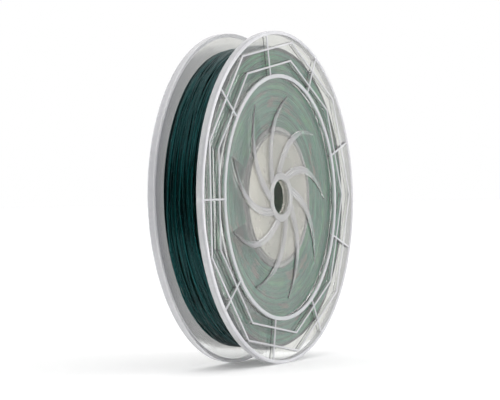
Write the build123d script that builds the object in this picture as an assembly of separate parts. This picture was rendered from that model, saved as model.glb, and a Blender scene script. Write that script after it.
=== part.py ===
from build123d import *
import math
import os

# Clear two-flange spool filled with braided line. All sizes in millimetres.
# The spool stands on its rims with its axis along Y. The front flange faces -Y and +Z is up.
# The origin is on the axis, halfway between the two flanges.

# Flanges. Rim, ring wall, plate and hub are the same on both. Only the front one has the ribs.
flange_diameter = 94.0
plate_thickness = 0.7        # the flat web that closes the line in
rib_height = 1.4             # how far rim, ring and ribs stand out of the plate
line_space = 12.7            # between the inner faces of the two plates

rim_wall = 1.0
rim_rounding = 0.3           # on the rim's two outside corners
ring_radius = 34.3           # middle of the round wall that divides the face
ring_wall = 1.1

# Stiffening ribs between the ring and the rim
rib_sides = 9
rib_width = 0.7
rib_start_angle = 60.5       # first spoke, from +X towards +Z, seen from outside
rib_overlap = 0.3            # how far a rib runs into the wall that it meets
polygon_places = (0.24, 0.86)  # 0 hugs the ring with its flats, 1 touches the rim with its corners

# Curved tapered ribs round the hub
swirl_count = 9
swirl_root_width = 2.6
swirl_middle_width = 2.2
swirl_tip_width = 0.5
swirl_turn = 62.0            # degrees from root to tip
swirl_bow = 5.2              # how far the middle stands off the straight line from root to tip
swirl_tip_gap = 4.6          # between the tips and the ring

# Hub
bore_diameter = 10.0
boss_wall = 2.0
boss_length = 2.2
boss_setback = 0.6           # below the rim's outer face

# Core, the separate sleeve that the line is wound on
core_diameter = 40.0
core_wall = 1.2
lip_clearance = 0.05         # radial, flange lip inside the core
lip_wall = 0.9
lip_length = 2.4
lip_lead = 0.3               # chamfer that guides the lip into the core

# Wound line
fill_margin = 4.4            # from the top of the line to the flange's edge
fill_crown = 0.2             # the middle of the winding stands this much above its edges
fill_edge_drop = 0.5         # rounding of the winding's two outer corners

# Derived
flange_radius = flange_diameter / 2
flange_depth = plate_thickness + rib_height
rim_inner_radius = flange_radius - rim_wall
ring_inner_radius = ring_radius - ring_wall / 2
ring_outer_radius = ring_radius + ring_wall / 2
bore_radius = bore_diameter / 2
boss_radius = bore_radius + boss_wall
boss_top = flange_depth - boss_setback
core_radius = core_diameter / 2
core_bore_radius = core_radius - core_wall
lip_radius = core_bore_radius - lip_clearance
fill_radius = flange_radius - fill_margin


def round_bar(outer, inner, low, high):
    # A plain ring on the local Z axis, from height low to height high
    ring = Circle(outer) - Circle(inner)
    return extrude(Pos(0, 0, low) * ring, high - low)


def revolved(points):
    # A ring turned from a section of (radius, height) corners
    section = make_face(Plane.XZ * Polyline(*points, close=True))
    return revolve(section, Axis.Z)


def plate_and_rim():
    # Section of the plate and the rim in one piece, from the bore to the edge
    corner = rim_rounding
    top = flange_depth
    return revolved([
        (bore_radius, 0),
        (flange_radius - corner, 0),
        (flange_radius, corner),
        (flange_radius, top - corner),
        (flange_radius - corner, top),
        (rim_inner_radius, top),
        (rim_inner_radius, plate_thickness),
        (bore_radius, plate_thickness),
    ])


def polygon_rib(place):
    # Nine-sided rib whose corners lie halfway between two spokes
    half_turn = math.radians(180 / rib_sides)
    smallest = (ring_outer_radius + rib_width / 2) / math.cos(half_turn)
    largest = rim_inner_radius
    corner_radius = smallest + place * (largest - smallest)
    grow = rib_width / 2 / math.cos(half_turn)
    outer = RegularPolygon(corner_radius + grow, rib_sides)
    inner = RegularPolygon(corner_radius - grow, rib_sides)
    return Rot(0, 0, rib_start_angle + 180 / rib_sides) * (outer - inner)


def outer_ribs():
    # Spokes from the ring to the rim and the polygons that cross them
    start = ring_outer_radius - rib_overlap
    length = rim_inner_radius + rib_overlap - start
    spoke = Pos(start + length / 2, 0) * Rectangle(length, rib_width)
    plan = Sketch()
    for index in range(rib_sides):
        plan += Rot(0, 0, rib_start_angle + index * 360 / rib_sides) * spoke
    for place in polygon_places:
        plan += polygon_rib(place)
    return plan


def at(radius, degrees):
    angle = math.radians(degrees)
    return Vector(radius * math.cos(angle), radius * math.sin(angle))


def swirl_blade():
    # One curved rib: two arcs that leave the boss wide and meet at a narrow tip
    root = at(boss_radius - rib_overlap, 0)
    tip = at(ring_inner_radius - swirl_tip_gap, -swirl_turn)
    along = (tip - root).normalized()
    across = Vector(-along.Y, along.X)
    middle = (root + tip) * 0.5 + across * swirl_bow

    def side(sign):
        first = root + across * (sign * swirl_root_width / 2)
        second = middle + across * (sign * swirl_middle_width / 2)
        third = tip + across * (sign * swirl_tip_width / 2)
        return ThreePointArc(first, second, third)

    left = side(1)
    right = side(-1)
    ends = [Line(left @ 0, right @ 0), Line(left @ 1, right @ 1)]
    return make_face([left, right] + ends)


def swirl_ribs():
    blade = swirl_blade()
    clear = Circle(bore_radius + boss_wall / 2)
    plan = Sketch()
    for index in range(swirl_count):
        plan += Rot(0, 0, rib_start_angle + index * 360 / swirl_count) * blade
    return plan - clear


def boss():
    # Thick collar round the bore, set back from the rim's face
    return round_bar(boss_radius, bore_radius, boss_top - boss_length, boss_top)


def core_lip():
    # Ring on the plate's inner side that centres the core
    return revolved([
        (lip_radius - lip_wall, 0.1),
        (lip_radius, 0.1),
        (lip_radius, lip_lead - lip_length),
        (lip_radius - lip_lead, -lip_length),
        (lip_radius - lip_wall, -lip_length),
    ])


def plain_flange():
    # Local frame: the plate's inner face at height 0, outside towards +Z
    body = plate_and_rim()
    body += round_bar(ring_outer_radius, ring_inner_radius, plate_thickness / 2, flange_depth)
    body += boss()
    body += core_lip()
    return body


def ribbed_flange():
    on_plate = Pos(0, 0, plate_thickness / 2)
    rib_rise = flange_depth - plate_thickness / 2
    swirl_rise = boss_top - plate_thickness / 2
    body = plain_flange()
    body += extrude(on_plate * outer_ribs(), rib_rise)
    body += extrude(on_plate * swirl_ribs(), swirl_rise)
    return body


def core():
    # Sleeve that fills the space between the two plates
    length = line_space
    sleeve = round_bar(core_radius, core_bore_radius, -length / 2, length / 2)
    return Rot(90, 0, 0) * sleeve


def winding():
    # The wound line as one closed ring, crowned in the middle and rounded at its edges
    half = line_space / 2
    edge = fill_edge_drop
    low = fill_radius - fill_crown
    outline = [
        Line((core_radius, -half), (low - edge, -half)),
        ThreePointArc((low - edge, -half), (low - edge * 0.3, -half + edge * 0.3), (low, -half + edge)),
        ThreePointArc((low, -half + edge), (fill_radius, 0), (low, half - edge)),
        ThreePointArc((low, half - edge), (low - edge * 0.3, half - edge * 0.3), (low - edge, half)),
        Line((low - edge, half), (core_radius, half)),
        Line((core_radius, half), (core_radius, -half)),
    ]
    section = make_face([Plane.XZ * piece for piece in outline])
    return Rot(90, 0, 0) * revolve(section, Axis.Z)


to_front = Pos(0, -line_space / 2, 0) * Rot(90, 0, 0)
front = to_front * ribbed_flange()
rear = Rot(0, 0, 180) * to_front * plain_flange()

parts = {
    "front_flange": front,
    "rear_flange": rear,
    "core_sleeve": core(),
    "line_winding": winding(),
}

os.makedirs("parts", exist_ok=True)
for name, shape in parts.items():
    export_step(shape, "parts/" + name + ".step")
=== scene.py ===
import math
import bpy
from mathutils import Matrix, Quaternion, Vector


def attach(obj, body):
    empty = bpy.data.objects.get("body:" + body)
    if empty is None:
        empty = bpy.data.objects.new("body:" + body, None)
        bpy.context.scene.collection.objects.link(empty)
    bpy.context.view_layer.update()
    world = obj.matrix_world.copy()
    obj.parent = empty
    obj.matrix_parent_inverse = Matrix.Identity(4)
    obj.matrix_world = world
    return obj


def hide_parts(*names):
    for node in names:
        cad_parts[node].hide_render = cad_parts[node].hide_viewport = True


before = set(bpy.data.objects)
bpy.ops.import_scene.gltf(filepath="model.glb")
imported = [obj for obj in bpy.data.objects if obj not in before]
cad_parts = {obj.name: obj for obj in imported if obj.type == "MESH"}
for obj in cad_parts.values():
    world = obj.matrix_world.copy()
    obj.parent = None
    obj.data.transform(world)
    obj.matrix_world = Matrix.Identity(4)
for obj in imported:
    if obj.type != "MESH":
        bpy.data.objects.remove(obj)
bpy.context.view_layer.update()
millimetre = 0.001
print("frame loaded:", sorted(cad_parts))


# Camera and light

camera = {
    "azimuth": -62.42,      # degrees round the spool, 0 looks straight at the front flange
    "elevation": 0.0,
    "roll": -1.013,
    "distance": 554.3,      # mm from the middle of the spool
    "lens": 140.03,
    "shift": (-0.01448, -0.00484),
}

studio = {
    "worldColour": (1.0, 1.0, 1.0),
    "worldStrength": 1.0,
    "floorColour": (0.95, 0.95, 0.95),
    "floorRadius": 12.0,    # metres
    "floorGlow": 0.14,      # lifts the soft shadow
    # name: (position, size, power), all aimed at the middle of the spool
    "lamps": {
        "topSoftbox": ((-0.05, -0.1, 0.9), (0.9, 0.9), 0.5),
        "frontSoftbox": ((0.22, -0.62, 0.45), (0.4, 0.4), 1.1),
    },
    # grey card behind the spool, seen only through the clear plastic, darker on the left: painted shade on
    # what shows through the plastic
    "cardDistance": 0.06,
    "cardSize": (0.5, 0.3),
    "cardLeft": (0.16, 0.16, 0.18),
    "cardRight": (0.76, 0.755, 0.73),
    "cardFade": (-0.038, 0.008),    # metres across the card
    "cardEnds": (0.0445, 0.0475),   # above and below these heights it is pale all over
    # dark band round the side of the spool, that the outer turns mirror at mid-height
    "bandRadius": 0.1,
    "bandHeight": 0.088,
    "bandFrom": -215.0,     # degrees, as the camera's azimuth
    "bandTo": -15.0,
    "bandColour": (0.02, 0.02, 0.02),
}


def makeCamera():
    azimuth = math.radians(camera["azimuth"])
    elevation = math.radians(camera["elevation"])
    level = math.cos(elevation)
    back = Vector((math.sin(azimuth) * level, -math.cos(azimuth) * level, math.sin(elevation)))
    data = bpy.data.cameras.new("spoolCamera")
    data.sensor_width = 36.0
    data.lens = camera["lens"]
    data.shift_x, data.shift_y = camera["shift"]
    data.clip_start = 0.01
    data.clip_end = 50.0
    body = bpy.data.objects.new("spoolCamera", data)
    body.rotation_mode = "QUATERNION"
    body.location = back * camera["distance"] * millimetre
    roll = Quaternion((0, 0, 1), math.radians(camera["roll"]))
    body.rotation_quaternion = (-back).to_track_quat("-Z", "Y") @ roll
    bpy.context.scene.collection.objects.link(body)
    bpy.context.scene.camera = body


def makeLamps():
    for name, (position, size, power) in studio["lamps"].items():
        data = bpy.data.lights.new(name, "AREA")
        data.shape = "RECTANGLE"
        data.size, data.size_y = size
        data.energy = power
        lamp = bpy.data.objects.new(name, data)
        lamp.location = position
        lamp.rotation_euler = (-Vector(position)).to_track_quat("-Z", "Y").to_euler()
        bpy.context.scene.collection.objects.link(lamp)
    world = bpy.data.worlds.new("whiteStudio")
    world.use_nodes = True
    background = world.node_tree.nodes["Background"]
    background.inputs["Color"].default_value = (*studio["worldColour"], 1)
    background.inputs["Strength"].default_value = studio["worldStrength"]
    bpy.context.scene.world = world
    bpy.context.scene.view_settings.view_transform = "Standard"


makeCamera()
makeLamps()
print("camera and lamps made")


# Node helpers

class Wire:
    # a socket that arithmetic can be done on, each step adding a Math node
    def __init__(self, tree, socket):
        self.tree = tree
        self.socket = socket

    def math(self, operation, *values):
        return self.tree.node("ShaderNodeMath", {"operation": operation}, dict(enumerate(values)))

    def __add__(self, other):
        return self.math("ADD", self, other)

    def __radd__(self, other):
        return self.math("ADD", other, self)

    def __sub__(self, other):
        return self.math("SUBTRACT", self, other)

    def __rsub__(self, other):
        return self.math("SUBTRACT", other, self)

    def __mul__(self, other):
        return self.math("MULTIPLY", self, other)

    def __rmul__(self, other):
        return self.math("MULTIPLY", other, self)

    def __truediv__(self, other):
        return self.math("DIVIDE", self, other)

    def __rtruediv__(self, other):
        return self.math("DIVIDE", other, self)

    def __pow__(self, other):
        return self.math("POWER", self, other)

    def sine(self):
        return self.math("SINE", self)

    def between(self, low, high):
        # 0 below low, 1 above high, smooth in between
        return self.tree.node(
            "ShaderNodeMapRange", {"interpolation_type": "SMOOTHSTEP"},
            {"Value": self, "From Min": low, "From Max": high, "To Min": 0.0, "To Max": 1.0},
        )


class NodeTree:
    def __init__(self, tree):
        self.tree = tree

    def node(self, kind, settings=None, sockets=None, out=0):
        made = self.tree.nodes.new(kind)
        for key, value in (settings or {}).items():
            if key == "stops":
                self.setStops(made.color_ramp, value)
            else:
                setattr(made, key, value)
        for key, value in (sockets or {}).items():
            if not isinstance(value, (Wire, list)):
                made.inputs[key].default_value = value
                continue
            for wire in value if isinstance(value, list) else [value]:
                self.tree.links.new(wire.socket, made.inputs[key])
        return Wire(self, made.outputs[out]) if len(made.outputs) else made

    def setStops(self, ramp, stops):
        while len(ramp.elements) < len(stops):
            ramp.elements.new(1.0)
        for element, (place, colour) in zip(ramp.elements, stops):
            element.position = place
            element.color = (*colour, 1)

    def mixColour(self, amount, first, second, blend="MIX"):
        mixed = self.node("ShaderNodeMix", {"data_type": "RGBA", "blend_type": blend})
        made = mixed.socket.node
        for place, value in ((0, amount), (6, first), (7, second)):
            if isinstance(value, Wire):
                self.tree.links.new(value.socket, made.inputs[place])
            elif place == 0:
                made.inputs[place].default_value = value
            else:
                made.inputs[place].default_value = (*value, 1)
        return Wire(self, made.outputs[2])


def newMaterial(name):
    material = bpy.data.materials.new(name)
    material.use_nodes = True
    material.node_tree.nodes.clear()
    return material, NodeTree(material.node_tree)


def finishMaterial(tree, surface):
    tree.node("ShaderNodeOutputMaterial", {}, {"Surface": surface})


def objectPlace(tree):
    # position on the spool in mm, as x, y, z and the distance from the axis
    place = tree.node("ShaderNodeTexCoord", out="Object")
    inMillimetres = tree.node("ShaderNodeVectorMath", {"operation": "SCALE"}, {0: place, "Scale": 1000.0})
    apart = tree.node("ShaderNodeSeparateXYZ", {}, {0: inMillimetres}).socket.node
    x, y, z = (Wire(tree, apart.outputs[i]) for i in range(3))
    radius = (x * x + z * z) ** 0.5
    return inMillimetres, x, y, z, radius


# Floor, card and band

def makeFloor():
    # flat and so wide that its far edge lies at the horizon, the same from every side
    sides = 96
    reach = studio["floorRadius"]
    ground = -flange["radius"] * millimetre
    turns = [math.tau * i / sides for i in range(sides)]
    points = [(reach * math.cos(turn), reach * math.sin(turn), ground) for turn in turns]
    mesh = bpy.data.meshes.new("studioFloor")
    mesh.from_pydata(points, [], [tuple(range(sides))])
    floor = newPiece("studioFloor", mesh)
    material, tree = newMaterial("paperFloor")
    place = tree.node("ShaderNodeTexCoord", out="Object")
    grain = tree.node("ShaderNodeTexNoise", {}, {"Vector": place, "Scale": 40.0, "Detail": 3.0})
    pale = studio["floorColour"]
    colour = tree.mixColour(grain, tuple(c * 0.985 for c in pale), pale)
    finishMaterial(tree, tree.node("ShaderNodeBsdfPrincipled", {}, {
        "Base Color": colour, "Roughness": 0.8, "Specular IOR Level": 0.2,
        "Emission Color": (1, 1, 1, 1), "Emission Strength": studio["floorGlow"],
    }))
    mesh.materials.append(material)


def panelMesh(name, middle, across, wide, high):
    ground = 0.002 - flange["radius"] * millimetre
    corners = ((-1, -1), (1, -1), (1, 1), (-1, 1))
    points = [middle + across * wide / 2 * i + Vector((0, 0, high / 2 * j)) for i, j in corners]
    for point in points:
        point.z = max(point.z, ground)
    mesh = bpy.data.meshes.new(name)
    mesh.from_pydata(points, [], [(0, 1, 2, 3)])
    return mesh


def makeCard():
    # a glowing sheet that only the clear plastic sees through: painted shade, darkest on the left at
    # mid-height
    azimuth = math.radians(camera["azimuth"])
    away = Vector((-math.sin(azimuth), math.cos(azimuth), 0))
    right = Vector((math.cos(azimuth), math.sin(azimuth), 0))
    mesh = panelMesh("greyCard", away * studio["cardDistance"], right, *studio["cardSize"])
    card = newPiece("greyCard", mesh)
    material, tree = newMaterial("greyCard")
    place = tree.node("ShaderNodeTexCoord", out="Object")
    dot = {"operation": "DOT_PRODUCT"}
    across = tree.node("ShaderNodeVectorMath", dot, {0: place, 1: tuple(right)}, out="Value")
    height = tree.node("ShaderNodeSeparateXYZ", {}, {0: place}, out="Z")
    pale = across.between(*studio["cardFade"])
    pale = pale.math("MAXIMUM", pale, height.math("ABSOLUTE", height).between(*studio["cardEnds"]))
    colour = tree.mixColour(pale, studio["cardLeft"], studio["cardRight"])
    finishMaterial(tree, tree.node("ShaderNodeBsdfPrincipled", {}, {
        "Base Color": (0, 0, 0, 1), "Specular IOR Level": 0.0,
        "Emission Color": colour, "Emission Strength": 1.0,
    }))
    mesh.materials.append(material)
    card.visible_camera = False
    card.visible_diffuse = False
    card.visible_glossy = False
    card.visible_shadow = False


def makeBand():
    # seen only by mirrored rays: a painted dark reflection on the outer turns at mid-height
    steps = 40
    ground = 0.002 - flange["radius"] * millimetre
    low = max(-studio["bandHeight"] / 2, ground)
    points = []
    for step in range(steps + 1):
        turn = math.radians(studio["bandFrom"] + (studio["bandTo"] - studio["bandFrom"]) * step / steps)
        spot = Vector((math.sin(turn), -math.cos(turn), 0)) * studio["bandRadius"]
        points += [(spot.x, spot.y, low), (spot.x, spot.y, studio["bandHeight"] / 2)]
    faces = [(2 * i, 2 * i + 2, 2 * i + 3, 2 * i + 1) for i in range(steps)]
    mesh = bpy.data.meshes.new("darkBand")
    mesh.from_pydata(points, [], faces)
    band = newPiece("darkBand", mesh)
    material, tree = newMaterial("paintedDarkReflection")
    place = tree.node("ShaderNodeTexCoord", out="Object")
    grain = tree.node("ShaderNodeTexNoise", {}, {"Vector": place, "Scale": 60.0, "Detail": 3.0})
    dark = studio["bandColour"]
    colour = tree.mixColour(grain, dark, tuple(c * 1.5 for c in dark))
    finishMaterial(tree, tree.node("ShaderNodeBsdfPrincipled", {}, {
        "Base Color": colour, "Roughness": 0.95, "Specular IOR Level": 0.1,
    }))
    mesh.materials.append(material)
    band.visible_camera = False
    band.visible_diffuse = False
    band.visible_transmission = False
    band.visible_shadow = False


# Shape helpers

def rounded(corners, steps=4):
    # corners are (radius, height, rounding); returns the outline with each corner turned into an arc
    outline = []
    count = len(corners)
    for index, (x, y, rounding) in enumerate(corners):
        here = Vector((x, y))
        before = Vector(corners[index - 1][:2])
        after = Vector(corners[(index + 1) % count][:2])
        toBefore = (before - here).normalized()
        toAfter = (after - here).normalized()
        angle = toBefore.angle(toAfter)
        if rounding <= 0 or angle > math.radians(178):
            outline.append((x, y))
            continue
        cut = rounding / math.tan(angle / 2)
        middle = here + (toBefore + toAfter).normalized() * (rounding / math.sin(angle / 2))
        start = here + toBefore * cut - middle
        end = here + toAfter * cut - middle
        sweep = start.angle_signed(end)
        for step in range(steps + 1):
            turned = start.copy()
            turned.rotate(Matrix.Rotation(-sweep * step / steps, 2))
            outline.append(tuple(middle + turned))
    return outline


def turnedMesh(name, outline, sides, start=0.0):
    # closed ring: the outline of (radius, height) pairs in mm, turned round the local Z axis
    points = []
    faces = []
    count = len(outline)
    for side in range(sides):
        turn = start + math.tau * side / sides
        for radius, height in outline:
            east = radius * math.cos(turn)
            north = radius * math.sin(turn)
            points.append((east * millimetre, north * millimetre, height * millimetre))
    for side in range(sides):
        here = side * count
        there = ((side + 1) % sides) * count
        for index in range(count):
            following = (index + 1) % count
            faces.append((here + index, there + index, there + following, here + following))
    mesh = bpy.data.meshes.new(name)
    mesh.from_pydata(points, [], faces)
    mesh.validate()
    return mesh


def newPiece(name, mesh):
    piece = bpy.data.objects.new(name, mesh)
    bpy.context.scene.collection.objects.link(piece)
    return piece


def smoothByAngle(mesh, degrees):
    mesh.shade_smooth()
    mesh.set_sharp_from_angle(angle=math.radians(degrees))


def evaluated(piece, name):
    # the result of the piece's modifiers as a plain mesh
    depsgraph = bpy.context.evaluated_depsgraph_get()
    mesh = bpy.data.meshes.new_from_object(piece.evaluated_get(depsgraph), depsgraph=depsgraph)
    mesh.name = name
    return mesh


def setModifierInput(modifier, label, value):
    for item in modifier.node_group.interface.items_tree:
        if item.item_type == "SOCKET" and item.in_out == "INPUT" and item.name == label:
            modifier[item.identifier] = value
            return
    raise KeyError(label)


def newGeometryTree(name, inputs):
    group = bpy.data.node_groups.new(name, "GeometryNodeTree")
    group.interface.new_socket("Geometry", in_out="INPUT", socket_type="NodeSocketGeometry")
    for label, kind in inputs:
        group.interface.new_socket(label, in_out="INPUT", socket_type="NodeSocket" + kind)
    group.interface.new_socket("Geometry", in_out="OUTPUT", socket_type="NodeSocketGeometry")
    tree = NodeTree(group)
    inlet = group.nodes.new("NodeGroupInput")
    return group, tree, {socket.name: Wire(tree, socket) for socket in inlet.outputs if socket.name}


# Clear plastic

plastic = {
    "tint": (0.955, 0.965, 0.95),
    "cloud": (0.90, 0.915, 0.89),
    "ior": 1.57,
    "transmission": 0.98,
    "roughness": 0.03,
    "hubRoughness": 0.16,
    "haze": (0.87, 0.865, 0.91),
    "hubCream": (0.97, 0.955, 0.89),
    "hazeTransmission": 0.22,
    "hazeRoughness": 0.35,
    # share of haze on the plate, on what stands out of it, on the rim, and in the hub
    "plateHaze": 0.04,
    "rearPlateHaze": 0.13,
    "ribHaze": 0.72,
    "bladeHaze": 0.34,
    "rimHaze": 0.46,
    "hubHaze": 0.20,
    "rippleHeight": 0.2,     # mm
}


def clearPlastic(name, plateHaze):
    material, tree = newMaterial(name)
    place, _, y, _, radius = objectPlace(tree)
    depth = y.math("ABSOLUTE", y)
    cloud = tree.node("ShaderNodeTexNoise", {}, {
        "Vector": place, "Scale": 0.09, "Detail": 4.0, "Roughness": 0.6,
    })
    streak = tree.node("ShaderNodeTexNoise", {}, {
        "Vector": place, "Scale": 0.8, "Detail": 5.0, "Roughness": 0.65,
    })
    colour = tree.mixColour(cloud.between(0.4, 0.7), plastic["tint"], plastic["cloud"])
    inHub = 1 - radius.between(17.5, 18.9)
    rougher = plastic["hubRoughness"] - plastic["roughness"]
    roughness = plastic["roughness"] + inHub * rougher + streak * 0.03
    height = streak * 0.6 + cloud * 0.4
    bump = tree.node("ShaderNodeBump", {}, {
        "Height": height, "Distance": plastic["rippleHeight"] * millimetre, "Strength": 0.15,
    })
    darkerHaze = tuple(c * 0.92 for c in plastic["haze"])
    hazeColour = tree.mixColour(streak.between(0.35, 0.7), plastic["haze"], darkerHaze)
    plateFace = flange["innerFace"] + flange["plate"]
    onHubPlate = inHub * (1 - depth.between(plateFace + 0.05, plateFace + 0.3))
    hazeColour = tree.mixColour(onHubPlate, hazeColour, plastic["hubCream"])
    colour = tree.mixColour(onHubPlate, colour, plastic["hubCream"])
    clear = tree.node("ShaderNodeBsdfPrincipled", {}, {
        "Base Color": colour, "Roughness": roughness, "IOR": plastic["ior"],
        "Transmission Weight": plastic["transmission"], "Normal": bump,
    })
    hazy = tree.node("ShaderNodeBsdfPrincipled", {}, {
        "Base Color": hazeColour, "Roughness": plastic["hazeRoughness"] + streak * 0.1, "IOR": plastic["ior"],
        "Transmission Weight": plastic["hazeTransmission"], "Normal": bump,
    })
    top = flange["innerFace"] + flange["depth"]
    ribTop = depth.between(top - 0.6, top - 0.2) * plastic["ribHaze"]
    bladeTop = depth.between(top - 1.25, top - 0.75) * (1 - radius.between(30.0, 32.0)) * plastic["bladeHaze"]
    rimInside = flange["radius"] - flange["rimWall"]
    onRim = radius.between(rimInside - 0.1, rimInside + 0.15)
    share = plateHaze + inHub * plastic["hubHaze"]
    share = share.math("MAXIMUM", share, ribTop.math("MAXIMUM", ribTop, bladeTop))
    share = share.math("MAXIMUM", share, onRim * plastic["rimHaze"])
    share = share * (0.85 + cloud * 0.3)
    finishMaterial(tree, tree.node("ShaderNodeMixShader", {}, {0: share, 1: clear, 2: hazy}))
    return material


# Flanges

flange = {
    "innerFace": 6.35,       # mm from the middle of the spool
    "radius": 47.0,
    "plate": 0.7,
    "depth": 2.1,
    "rimWall": 1.0,
    "ringRadius": 34.3,
    "ringWall": 1.1,
    "boreRadius": 5.0,
    "bossRadius": 7.0,
    "bossTop": 1.5,
    "bossLength": 2.2,
    "lipRadius": 18.75,
    "lipWall": 0.9,
    "lipLength": 2.4,
    "sides": 240,
    "ribSides": 9,
    "ribStart": 60.5,        # degrees
    "ribWidth": 0.7,
    "ribDraft": 0.09,        # mm a side from foot to top
    "polygonPlaces": (0.24, 0.86),
    "bladeTurn": 62.0,
    "bladeBow": 5.2,
    "bladeWidths": (2.6, 2.2, 0.5),
    "bladeTipGap": 4.6,
    "foot": 0.35,            # how deep a rib starts inside the plate
}


flangeClear = clearPlastic("clearPolystyrene", plastic["plateHaze"])
rearClear = clearPlastic("hazedPolystyrene", plastic["rearPlateHaze"])
print("plastic mixed")


def flangeOutline():
    f = flange
    bossLow = f["bossTop"] - f["bossLength"]
    ringIn = f["ringRadius"] - f["ringWall"] / 2
    ringOut = f["ringRadius"] + f["ringWall"] / 2
    rimIn = f["radius"] - f["rimWall"]
    lipIn = f["lipRadius"] - f["lipWall"]
    return rounded([
        (f["boreRadius"], bossLow, 0.15),
        (f["bossRadius"], bossLow, 0.2),
        (f["bossRadius"], 0, 0.1),
        (lipIn, 0, 0.1),
        (lipIn, -f["lipLength"], 0.12),
        (f["lipRadius"] - 0.3, -f["lipLength"], 0.1),
        (f["lipRadius"], 0.3 - f["lipLength"], 0.1),
        (f["lipRadius"], 0, 0.1),
        (f["radius"], 0, 0.3),
        (f["radius"], f["depth"], 0.3),
        (rimIn, f["depth"], 0.15),
        (rimIn, f["plate"], 0.15),
        (ringOut, f["plate"], 0.15),
        (ringOut, f["depth"], 0.2),
        (ringIn, f["depth"], 0.2),
        (ringIn, f["plate"], 0.15),
        (f["bossRadius"], f["plate"], 0.2),
        (f["bossRadius"], f["bossTop"], 0.3),
        (f["boreRadius"], f["bossTop"], 0.25),
    ])


def spokeMesh():
    # straight rib along +X, drafted and with softened top edges
    f = flange
    start = f["ringRadius"] + f["ringWall"] / 2 - 0.3
    end = f["radius"] - f["rimWall"] + 0.3
    top = f["depth"] - 0.08
    half = f["ribWidth"] / 2
    topHalf = half - f["ribDraft"]
    soft = 0.14
    section = [
        (-half, f["foot"]), (half, f["foot"]), (topHalf, top - soft),
        (topHalf - soft, top), (soft - topHalf, top), (-topHalf, top - soft),
    ]
    points = []
    for far in (start, end):
        points += [(far * millimetre, across * millimetre, up * millimetre) for across, up in section]
    count = len(section)
    faces = [tuple(range(count))[::-1], tuple(range(count, 2 * count))]
    faces += [(i, (i + 1) % count, count + (i + 1) % count, count + i) for i in range(count)]
    mesh = bpy.data.meshes.new("spoke")
    mesh.from_pydata(points, [], faces)
    return mesh


def polygonMesh(place):
    f = flange
    halfTurn = math.pi / f["ribSides"]
    smallest = (f["ringRadius"] + f["ringWall"] / 2 + f["ribWidth"] / 2) / math.cos(halfTurn)
    largest = f["radius"] - f["rimWall"]
    corner = smallest + place * (largest - smallest)
    half = f["ribWidth"] / 2 / math.cos(halfTurn)
    topHalf = half - f["ribDraft"]
    top = f["depth"] - 0.14
    soft = 0.14
    section = [
        (corner - half, f["foot"]), (corner + half, f["foot"]), (corner + topHalf, top - soft),
        (corner + topHalf - soft, top), (corner - topHalf + soft, top), (corner - topHalf, top - soft),
    ]
    return turnedMesh("polygonRib", section, f["ribSides"], math.radians(f["ribStart"]) + halfTurn)


def bladeMesh():
    # curved hub rib: wide at the boss, crowned, and tapered to a low thin tip
    f = flange
    tipRadius = f["ringRadius"] - f["ringWall"] / 2 - f["bladeTipGap"]
    tipTurn = math.radians(-f["bladeTurn"])
    root = Vector((f["bossRadius"] - 0.9, 0))
    tip = Vector((tipRadius * math.cos(tipTurn), tipRadius * math.sin(tipTurn)))
    along = (tip - root).normalized()
    across = Vector((-along.y, along.x))
    middle = (root + tip) / 2 + across * f["bladeBow"]
    steps = 28
    points = []
    for step in range(steps + 1):
        t = step / steps
        weights = ((1 - t) * (1 - 2 * t), 4 * t * (1 - t), t * (2 * t - 1))
        here = root * weights[0] + middle * weights[1] + tip * weights[2]
        slope = root * (4 * t - 3) + middle * (4 - 8 * t) + tip * (4 * t - 1)
        side = Vector((-slope.y, slope.x)).normalized()
        half = sum(w * size for w, size in zip(weights, f["bladeWidths"])) / 2
        crest = f["bossTop"] - 0.05 - 0.45 * t ** 2
        shoulder = f["plate"] + (crest - f["plate"]) * 0.45
        groove = crest - 0.22 * (1 - t)
        section = [
            (-half, f["foot"]), (half, f["foot"]), (half * 0.95, shoulder),
            (half * 0.68, crest - 0.08), (half * 0.34, groove), (0, crest),
            (-half * 0.34, groove), (-half * 0.68, crest - 0.08), (-half * 0.95, shoulder),
        ]
        for offset, up in section:
            spot = here + side * offset
            points.append((spot.x * millimetre, spot.y * millimetre, up * millimetre))
    count = len(section)
    faces = [tuple(range(count))[::-1], tuple(steps * count + i for i in range(count))]
    for step in range(steps):
        low = step * count
        high = low + count
        faces += [(low + i, low + (i + 1) % count, high + (i + 1) % count, high + i) for i in range(count)]
    mesh = bpy.data.meshes.new("blade")
    mesh.from_pydata(points, [], faces)
    return mesh


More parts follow.
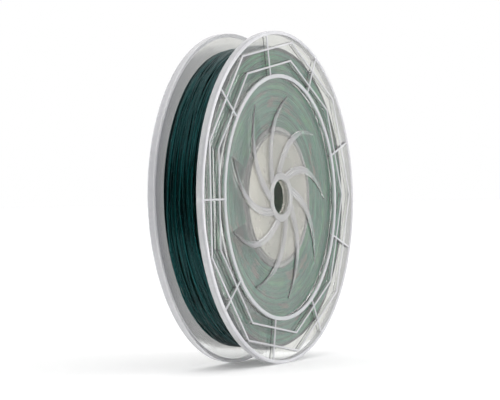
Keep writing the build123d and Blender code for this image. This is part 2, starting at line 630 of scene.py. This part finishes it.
def ribTree():
    # sets ribs round the plate and unites them with it
    group, tree, inlet = newGeometryTree("ribbedFlange", [
        ("Spoke", "Object"), ("Blade", "Object"), ("Inner Polygon", "Object"), ("Outer Polygon", "Object"),
        ("Rib Count", "Int"), ("Start Angle", "Float"), ("Plastic", "Material"),
    ])

    def ring(part):
        spots = tree.node("GeometryNodePoints", {}, {"Count": inlet["Rib Count"], "Position": (0, 0, 0)})
        number = tree.node("GeometryNodeInputIndex")
        angle = inlet["Start Angle"] + number * math.tau / inlet["Rib Count"]
        turn = tree.node("ShaderNodeCombineXYZ", {}, {2: angle})
        rotation = tree.node("FunctionNodeEulerToRotation", {}, {0: turn})
        shape = tree.node("GeometryNodeObjectInfo", {}, {"Object": inlet[part]}, out="Geometry")
        placed = tree.node("GeometryNodeInstanceOnPoints", {}, {
            "Points": spots, "Instance": shape, "Rotation": rotation,
        })
        return tree.node("GeometryNodeRealizeInstances", {}, {0: placed})

    def united(first, second):
        settings = {"operation": "UNION", "solver": "MANIFOLD"}
        return tree.node("GeometryNodeMeshBoolean", settings, {1: [first, second]})

    shape = inlet["Geometry"]
    for part in ("Inner Polygon", "Outer Polygon"):
        polygon = tree.node("GeometryNodeObjectInfo", {}, {"Object": inlet[part]}, out="Geometry")
        shape = united(shape, polygon)
    shape = united(shape, ring("Spoke"))
    shape = united(shape, ring("Blade"))
    whole = tree.node("GeometryNodeRealizeInstances", {}, {0: shape})
    painted = tree.node("GeometryNodeSetMaterial", {}, {"Geometry": whole, "Material": inlet["Plastic"]})
    tree.node("NodeGroupOutput", {}, {0: painted})
    return group


def ribbedMesh(plateMesh):
    seeds = {
        "Spoke": newPiece("spokeSeed", spokeMesh()),
        "Blade": newPiece("bladeSeed", bladeMesh()),
        "Inner Polygon": newPiece("innerPolygonSeed", polygonMesh(flange["polygonPlaces"][0])),
        "Outer Polygon": newPiece("outerPolygonSeed", polygonMesh(flange["polygonPlaces"][1])),
    }
    plate = newPiece("flangeSeed", plateMesh.copy())
    modifier = plate.modifiers.new("ribs", "NODES")
    modifier.node_group = ribTree()
    for label, seed in seeds.items():
        setModifierInput(modifier, label, seed)
    setModifierInput(modifier, "Rib Count", flange["ribSides"])
    setModifierInput(modifier, "Start Angle", math.radians(flange["ribStart"]))
    setModifierInput(modifier, "Plastic", flangeClear)
    mesh = evaluated(plate, "ribbedFlange")
    for seed in [plate, *seeds.values()]:
        bpy.data.objects.remove(seed)
    return mesh


def makeFlanges():
    # the rear flange is the same plate without the ribs
    plain = turnedMesh("plainFlange", flangeOutline(), flange["sides"])
    ribbed = ribbedMesh(plain)
    quarterTurn = Matrix.Rotation(math.radians(90), 4, "X")
    outward = Matrix.Translation((0, -flange["innerFace"] * millimetre, 0)) @ quarterTurn
    turned = Matrix.Rotation(math.radians(180), 4, "Z") @ outward
    for name, node, mesh, place, material in (
        ("frontFlangeClear", "front_flange", ribbed, outward, flangeClear),
        ("rearFlangeClear", "rear_flange", plain, turned, rearClear),
    ):
        mesh.transform(place)
        smoothByAngle(mesh, 32)
        mesh.materials.clear()
        mesh.materials.append(material)
        piece = newPiece(name, mesh)
        print(name, "faces:", len(mesh.polygons))
        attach(piece, "root")
        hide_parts(node)


makeFlanges()
print("flanges made")


# Core sleeve

core = {"radius": 20.0, "wall": 1.2, "halfLength": 6.33, "rounding": 0.15, "sides": 200}


def makeCore():
    inside = core["radius"] - core["wall"]
    half = core["halfLength"]
    outside = core["radius"]
    soft = core["rounding"]
    outline = rounded([
        (inside, -half, soft), (outside, -half, soft), (outside, half, soft), (inside, half, soft),
    ])
    mesh = turnedMesh("coreSleeveClear", outline, core["sides"])
    mesh.transform(Matrix.Rotation(math.radians(90), 4, "X"))
    smoothByAngle(mesh, 40)
    mesh.materials.append(flangeClear)
    piece = newPiece("coreSleeveClear", mesh)
    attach(piece, "root")
    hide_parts("core_sleeve")


makeCore()
print("core made")


# Wound line

line = {
    "innerRadius": 20.06,
    "packRadius": 41.93,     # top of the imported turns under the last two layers
    "halfWidth": 6.27,
    "strand": 0.43,          # mm across
    "layers": 48,            # wound across and back under the last two
    "layerTurns": 28.15,     # not whole, so that each layer turns back at another place
    "layersAPiece": 12,
    "packPoints": 44,        # a turn
    "packStrandSides": 5,
    # name: turns, mm above the pack, (wander, traverse, lift) in mm, seed
    "outerLayers": {
        "lowerTurns": (32, 0.12, (0.9, 0.2, 0.16), 4.0),
        "upperTurns": (22, 0.33, (2.2, 1.4, 0.16), 44.0),
    },
    "crown": 0.25,           # mm, rise of the outer layers at the middle
    "turnPoints": 180,
    "strandSides": 8,
    "dark": (0.0002, 0.0035, 0.0035),
    "mid": (0.0004, 0.019, 0.017),
    "light": (0.008, 0.110, 0.112),
    "sheen": (0.33, 0.95, 1.00),    # the dye tints its highlights
    # the side colours are lifted far above the braid's own dye: painted light on the sides of the pack
    "side": (0.030, 0.380, 0.220),
    "sideRose": (0.330, 0.340, 0.240),
    "sideGreen": (0.110, 0.560, 0.240),
}


def lineMaterial():
    # braid: fine diagonal plait along each turn, turns that differ a little in depth of dye, and painted
    # highlight streaks along each turn
    material, tree = newMaterial("tealBraid")
    place, *_ = objectPlace(tree)
    dye = tree.node("ShaderNodeAttribute", {"attribute_name": "turnShade"}, out="Fac")
    along = tree.node("ShaderNodeAttribute", {"attribute_name": "alongTurn"}, out="Fac")
    around = tree.node("ShaderNodeAttribute", {"attribute_name": "roundStrand"}, out="Fac")
    patch = tree.node("ShaderNodeTexNoise", {}, {"Vector": place, "Scale": 0.35, "Detail": 3.0})
    plaitA = (along * 900.0 + around * math.tau * 2).sine()
    plaitB = (along * 900.0 - around * math.tau * 2).sine()
    plait = plaitA * plaitB * 0.5 + 0.5
    drawn = tree.node("ShaderNodeCombineXYZ", {}, {0: along * 14.0, 1: dye * 50.0})
    highlightStreaks = tree.node("ShaderNodeTexNoise", {"noise_dimensions": "2D"}, {
        "Vector": drawn, "Scale": 1.0, "Detail": 3.0,
    })
    # each turn's dye depth, plus lighter streaks along the turn that are a painted highlight, plus soft
    # patches
    shade = dye * 0.72 + highlightStreaks * 0.42 + patch * 0.12 - 0.16
    base = tree.mixColour(shade.between(0.2, 0.8), line["dark"], line["mid"])
    colour = tree.mixColour((plait * 0.3 + 0.35) * shade.between(0.45, 1.0) * 0.7, base, line["light"])
    bump = tree.node("ShaderNodeBump", {}, {"Height": plait, "Distance": 0.00002, "Strength": 0.2})
    finishMaterial(tree, tree.node("ShaderNodeBsdfPrincipled", {}, {
        "Base Color": colour, "Roughness": 0.3 - highlightStreaks * 0.05, "Normal": bump,
        "Specular IOR Level": 0.45, "Specular Tint": (*line["sheen"], 1),
    }))
    return material


def packMaterial():
    # the imported turns as they show on the two sides, with a soft colour play that follows the turns; the
    # sides are lifted far above the braid's own dye as painted light, and the top, seen in the gaps between
    # the outer turns, is painted shade in the braid's darkest dye
    material, tree = newMaterial("packedTurns")
    place, x, _, z, radius = objectPlace(tree)
    angle = z.math("ARCTAN2", z, x)
    polar = tree.node("ShaderNodeCombineXYZ", {}, {
        0: radius * 0.16, 1: angle.sine() * 1.6, 2: angle.math("COSINE", angle) * 1.6,
    })
    play = tree.node("ShaderNodeTexNoise", {}, {
        "Vector": polar, "Scale": 1.6, "Detail": 4.0, "Roughness": 0.6,
    })
    turns = tree.node("ShaderNodeTexNoise", {"noise_dimensions": "1D"}, {
        "W": radius * 0.9, "Scale": 1.0, "Detail": 3.0, "Roughness": 0.75,
    })
    rose = tree.mixColour(play.between(0.55, 0.66), line["side"], line["sideRose"])
    green = tree.mixColour((1 - play).between(0.5, 0.66), rose, line["sideGreen"])
    shaded = tree.mixColour(turns.between(0.42, 0.58) * 0.5, green, tuple(c * 0.1 for c in line["side"]))
    # painted shade: the top of the pack, seen in the gaps between the outer turns, takes the braid's darkest
    # dye
    gapShadeOnTop = radius.between(line["packRadius"] - 0.35, line["packRadius"] - 0.15)
    colour = tree.mixColour(gapShadeOnTop, shaded, line["dark"])
    fibre = tree.node("ShaderNodeTexNoise", {}, {"Vector": place, "Scale": 9.0, "Detail": 3.0})
    bump = tree.node("ShaderNodeBump", {}, {"Height": fibre, "Distance": 0.00005, "Strength": 0.5})
    finishMaterial(tree, tree.node("ShaderNodeBsdfPrincipled", {}, {
        "Base Color": colour, "Roughness": 0.4 + turns * 0.2, "Specular IOR Level": 0.25, "Normal": bump,
    }))
    return material


def packedPath(firstLayer, lastLayer):
    # one length of line as (radius, height, angle), across and back, climbing a layer at each end
    low = line["innerRadius"] + line["strand"] / 2
    pitch = (line["packRadius"] - line["strand"] / 2 - low) / (line["layers"] - 1)
    reach = line["halfWidth"] - line["strand"] / 2
    layerPoints = line["layerTurns"] * line["packPoints"]
    first = math.ceil(firstLayer * layerPoints)
    last = math.ceil(lastLayer * layerPoints)
    path = []
    for index in range(first, last + 1):
        layer, share = divmod(index / layerPoints, 1)
        side = 1 if layer % 2 == 0 else -1
        climb = max(0.0, 1 - (1 - share) * line["layerTurns"] * 2)    # over the layer's last half turn
        radius = low + min(layer + climb, line["layers"] - 1) * pitch
        path.append((radius, side * (2 * share - 1) * reach, math.tau * index / line["packPoints"]))
    return path


def packedMesh(name, path):
    sides = line["packStrandSides"]
    half = line["strand"] / 2
    turns = [math.tau * i / sides for i in range(sides)]
    section = [(half * math.cos(turn), half * math.sin(turn)) for turn in turns]
    points = []
    for radius, height, angle in path:
        for out, over in section:
            far = (radius + out) * millimetre
            points.append((far * math.cos(angle), (height + over) * millimetre, far * math.sin(angle)))
    faces = [tuple(range(sides))[::-1], tuple(range(len(points) - sides, len(points)))]
    for start in range(0, len(points) - sides, sides):
        for i in range(sides):
            after = (i + 1) % sides
            faces.append((start + i, start + after, start + sides + after, start + sides + i))
    mesh = bpy.data.meshes.new(name)
    mesh.from_pydata(points, [], faces)
    mesh.shade_smooth()
    return mesh


def turnsTree():
    # closed turns side by side across the winding, each wandering and lifting by smooth noise round the spool
    group, tree, inlet = newGeometryTree("woundTurns", [
        ("Turns", "Int"), ("Radius", "Float"), ("Half Width", "Float"), ("Strand", "Float"),
        ("Wander", "Float"), ("Traverse", "Float"), ("Lift", "Float"), ("Points", "Int"),
        ("Strand Sides", "Int"), ("Seed", "Float"), ("Line", "Material"),
    ])

    def stored(geometry, name, value):
        settings = {"data_type": "FLOAT", "domain": "POINT"}
        return tree.node("GeometryNodeStoreNamedAttribute", settings, {
            "Geometry": geometry, "Name": name, "Value": value,
        })

    number = tree.node("GeometryNodeInputIndex")
    spots = tree.node("GeometryNodePoints", {}, {"Count": inlet["Turns"], "Position": (0, 0, 0)})
    share = (number + 0.5) / inlet["Turns"]
    marked = stored(spots, "turnShare", share)
    circle = tree.node("GeometryNodeCurvePrimitiveCircle", {}, {
        "Resolution": inlet["Points"], "Radius": inlet["Radius"],
    })
    placed = tree.node("GeometryNodeInstanceOnPoints", {}, {"Points": marked, "Instance": circle})
    turns = tree.node("GeometryNodeRealizeInstances", {}, {0: placed})
    turnShare = tree.node("GeometryNodeInputNamedAttribute", {"data_type": "FLOAT"}, {"Name": "turnShare"})
    position = tree.node("GeometryNodeInputPosition")
    apart = tree.node("ShaderNodeSeparateXYZ", {}, {0: position}).socket.node
    east, north = Wire(tree, apart.outputs[0]), Wire(tree, apart.outputs[1])
    angle = north.math("ARCTAN2", north, east)
    direction = tree.node("ShaderNodeVectorMath", {"operation": "NORMALIZE"}, {0: position})

    def drift(scale, offset):
        return tree.node("ShaderNodeTexNoise", {"noise_dimensions": "4D"}, {
            "Vector": direction, "W": turnShare * 97.0 + inlet["Seed"] + offset,
            "Scale": scale, "Detail": 2.0, "Roughness": 0.5,
        }) - 0.5

    phase = turnShare * 271.0 + inlet["Seed"]
    swing = (angle + phase).sine() * inlet["Traverse"]
    across = (turnShare * 2 - 1) * inlet["Half Width"] + drift(0.9, 0.0) * inlet["Wander"] * 2
    across = across + drift(2.6, 31.0) * inlet["Wander"] * 0.7 + swing
    edge = inlet["Half Width"]
    kept = across.math("MINIMUM", across.math("MAXIMUM", across, edge * -1), edge)
    crown = 1 - (kept / edge) ** 2
    radial = drift(2.2, 11.0) * inlet["Lift"] * 2 + crown * (line["crown"] * millimetre)
    outward = tree.node("ShaderNodeVectorMath", {"operation": "SCALE"}, {0: direction, "Scale": radial})
    sideways = tree.node("ShaderNodeCombineXYZ", {}, {2: kept})
    offset = tree.node("ShaderNodeVectorMath", {"operation": "ADD"}, {0: outward, 1: sideways})
    moved = tree.node("GeometryNodeSetPosition", {}, {"Geometry": turns, "Offset": offset})
    turnNumber = tree.node("ShaderNodeMath", {"operation": "ROUND"}, {0: turnShare * 1000.0})
    shade = tree.node("FunctionNodeRandomValue", {"data_type": "FLOAT"}, {
        "Min": 0.0, "Max": 1.0, "ID": turnNumber, "Seed": 3,
    }, out=1)
    shaded = stored(moved, "turnShade", shade)
    distance = tree.node("GeometryNodeSplineParameter", out="Factor")
    measured = stored(shaded, "alongTurn", distance)
    section = tree.node("GeometryNodeCurvePrimitiveCircle", {}, {
        "Resolution": inlet["Strand Sides"], "Radius": inlet["Strand"] * 0.5,
    })
    sectionShare = tree.node("GeometryNodeSplineParameter", out="Factor")
    sectionMarked = stored(section, "roundStrand", sectionShare)
    strands = tree.node("GeometryNodeCurveToMesh", {}, {"Curve": measured, "Profile Curve": sectionMarked})
    smooth = tree.node("GeometryNodeSetShadeSmooth", {}, {"Geometry": strands, "Shade Smooth": True})
    whole = tree.node("GeometryNodeRealizeInstances", {}, {0: smooth})
    painted = tree.node("GeometryNodeSetMaterial", {}, {"Geometry": whole, "Material": inlet["Line"]})
    tree.node("NodeGroupOutput", {}, {0: painted})
    return group


def makeTurns(name, tree, material, settings):
    seed = newPiece(name + "Seed", bpy.data.meshes.new(name + "Seed"))
    modifier = seed.modifiers.new("turns", "NODES")
    modifier.node_group = tree
    for label, value in settings.items():
        setModifierInput(modifier, label, value)
    setModifierInput(modifier, "Line", material)
    mesh = evaluated(seed, name)
    bpy.data.objects.remove(seed)
    mesh.transform(Matrix.Rotation(math.radians(90), 4, "X"))
    piece = newPiece(name, mesh)
    print(name, "faces:", len(mesh.polygons), "materials:", len(mesh.materials))
    return piece


def makeWinding():
    side = packMaterial()
    pieces = []
    total = 0.0
    for first in range(0, line["layers"], line["layersAPiece"]):
        name = "packedTurns" + str(len(pieces) + 1)
        path = packedPath(first, first + line["layersAPiece"])
        total += sum(radius for radius, _, _ in path) * math.tau / line["packPoints"] * millimetre
        mesh = packedMesh(name, path)
        mesh.materials.append(side)
        pieces.append(newPiece(name, mesh))
        print(name, "faces:", len(mesh.polygons))
    print("packed line, metres:", round(total, 1))
    tree = turnsTree()
    braid = lineMaterial()
    for name, (turns, step, loose, seed) in line["outerLayers"].items():
        wander, traverse, lift = (size * millimetre for size in loose)
        pieces.append(makeTurns(name, tree, braid, {
            "Turns": turns, "Radius": (line["packRadius"] + step) * millimetre,
            "Half Width": (line["halfWidth"] - line["strand"] / 2) * millimetre,
            "Strand": line["strand"] * millimetre, "Wander": wander, "Traverse": traverse, "Lift": lift,
            "Points": line["turnPoints"], "Strand Sides": line["strandSides"], "Seed": seed,
        }))
    for piece in pieces:
        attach(piece, "root")
        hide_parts("line_winding")


makeWinding()
print("winding made")

makeFloor()
makeCard()
makeBand()
print("floor, card and band made")
